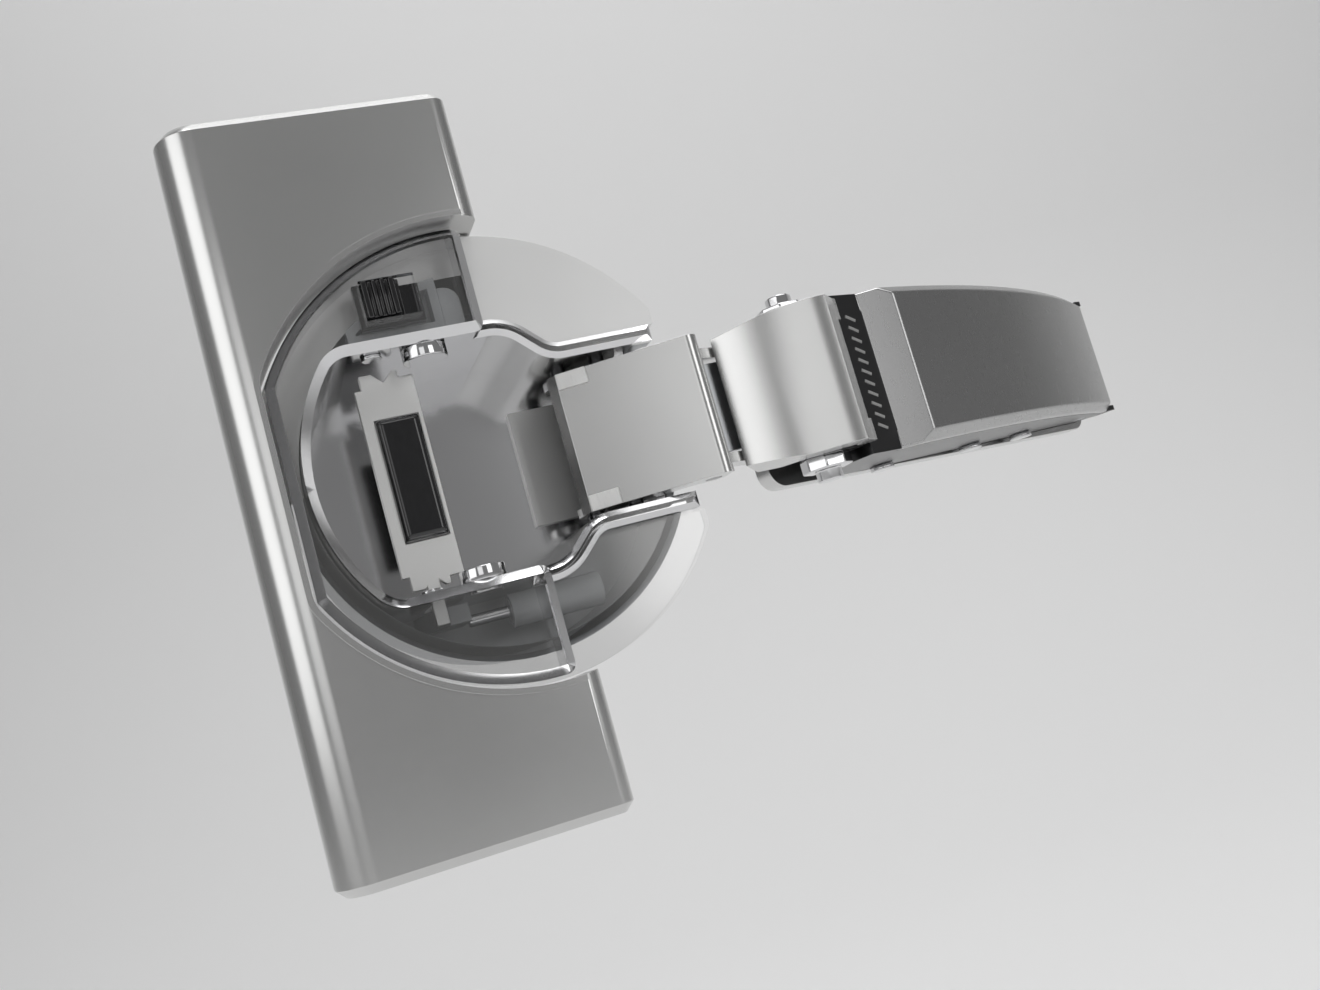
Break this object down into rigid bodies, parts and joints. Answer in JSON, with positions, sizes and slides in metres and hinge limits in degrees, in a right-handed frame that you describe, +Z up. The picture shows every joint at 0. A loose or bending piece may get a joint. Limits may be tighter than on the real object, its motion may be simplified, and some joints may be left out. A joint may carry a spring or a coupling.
{
  "type": "soft-close cabinet hinge",
  "caption": "Concealed cabinet hinge standing open: round cup with cover plate and damper, two links, cranked arm with arched cap and clip-on in-line mounting plate.",
  "frame": {"origin": "on the cabinet panel's face, midway between the two screw holes of the mounting plate", "axes": "X along the panel into the cabinet, Y into the panel, Z up along the hinge axis; the hinge stands open at 110 degrees"},
  "size_m": [0.1075, 0.0352, 0.065],
  "materials": {
    "nickel": "satin nickel plate",
    "dark_nickel": "satin nickel plate",
    "chrome": "polished",
    "zinc": "zinc plate",
    "dark_steel": "oiled steel",
    "pale_steel": "pale plate",
    "white_plastic": "gloss",
    "black_plastic": "gloss",
    "grey_plastic": "matte",
    "clear_plastic": "clear"
  },
  "bodies": {
    "base": {"mounting_plate": "nickel", "clip_bracket": "zinc"},
    "depth_cam": {"depth_cam": "zinc"},
    "arm": {"arm": "dark_nickel", "arm_cap": "chrome", "nose_pin": "chrome", "arm_pins": "chrome"},
    "side_screw": {"side_screw": "zinc"},
    "release_lever": {"release_lever": "zinc"},
    "nose": {"arm_nose": "nickel", "outer_nose_pin": "dark_steel", "inner_nose_pin": "dark_steel"},
    "outer_link": {"outer_link": "nickel", "link_pads": "white_plastic"},
    "inner_link": {"inner_link": "zinc"},
    "cup": {"cover_plate": "nickel", "cup_flange": "nickel", "cup_pot": "zinc", "outer_cup_pins": "dark_steel", "inner_cup_pin": "dark_steel", "closing_spring": "pale_steel", "guide_bushes": "chrome", "tub_rivets": "chrome", "switch_housing": "clear_plastic", "damper_cylinder": "clear_plastic", "damper_cap": "grey_plastic"},
    "actuator": {"actuator_plate": "pale_steel", "actuator_pad": "black_plastic"},
    "damper_slide": {"damper_rod": "chrome", "damper_carriage": "grey_plastic"},
    "switch": {"switch_slider": "black_plastic"}
  },
  "joints": [
    {"name": "depth_adjust", "type": "slide", "parent": "base", "child": "arm", "axis": [1, 0, 0], "range_m": [-0.002, 0.003]},
    {"name": "depth_cam_turn", "type": "hinge", "parent": "base", "child": "depth_cam", "pos_m": [0, -0.006, 0], "axis": [0, -1, 0], "range_deg": [-120, 180]},
    {"name": "side_adjust", "type": "hinge", "parent": "arm", "child": "nose", "pos_m": [-0.0346, -0.0099, 0], "axis": [0, 0, 1], "range_deg": [-1.5, 1.5]},
    {"name": "side_screw_turn", "type": "hinge", "parent": "arm", "child": "side_screw", "pos_m": [-0.022, -0.01, 0], "axis": [0, -1, 0], "range_deg": [-180, 180]},
    {"name": "release_press", "type": "hinge", "parent": "arm", "child": "release_lever", "pos_m": [0.016, -0.004, 0], "axis": [0, 0, 1], "range_deg": [-12, 0], "stiffness_Nm_per_rad": 0.05},
    {"name": "link_swing", "type": "hinge", "parent": "nose", "child": "outer_link", "pos_m": [-0.04615, -0.00681, 0], "axis": [0, 0, 1], "range_deg": [-54.31, 0]},
    {"name": "strap_swing", "type": "hinge", "parent": "nose", "child": "inner_link", "pos_m": [-0.03518, -0.00618, 0], "axis": [0, 0, 1], "range_deg": [-39.7, 0]},
    {"name": "door_swing", "type": "hinge", "parent": "outer_link", "child": "cup", "pos_m": [-0.05372, 0.00201, 0], "axis": [0, 0, 1], "range_deg": [0, 164.3]},
    {"name": "soft_close_press", "type": "slide", "parent": "cup", "child": "actuator", "axis": [0.342, 0.9397, 0], "range_m": [0, 0.0048]},
    {"name": "damper_stroke", "type": "slide", "parent": "cup", "child": "damper_slide", "axis": [0.9397, -0.342, 0], "range_m": [0, 0.0024]},
    {"name": "switch_move", "type": "slide", "parent": "cup", "child": "switch", "axis": [0.9397, -0.342, 0], "range_m": [0, 0.0017]}
  ],
  "couplings": [
    {"joint": "depth_cam_turn", "follows": "depth_adjust", "rad_per_m": 1047.1},
    {"joint": "side_screw_turn", "follows": "side_adjust", "ratio": 119.9},
    {"joint": "link_swing", "follows": "door_swing", "ratio": -0.3305},
    {"joint": "strap_swing", "follows": "door_swing", "ratio": -0.2416},
    {"joint": "soft_close_press", "follows": "door_swing", "m_per_rad": 0.0016737},
    {"joint": "damper_stroke", "follows": "door_swing", "m_per_rad": 0.00083686}
  ]
}
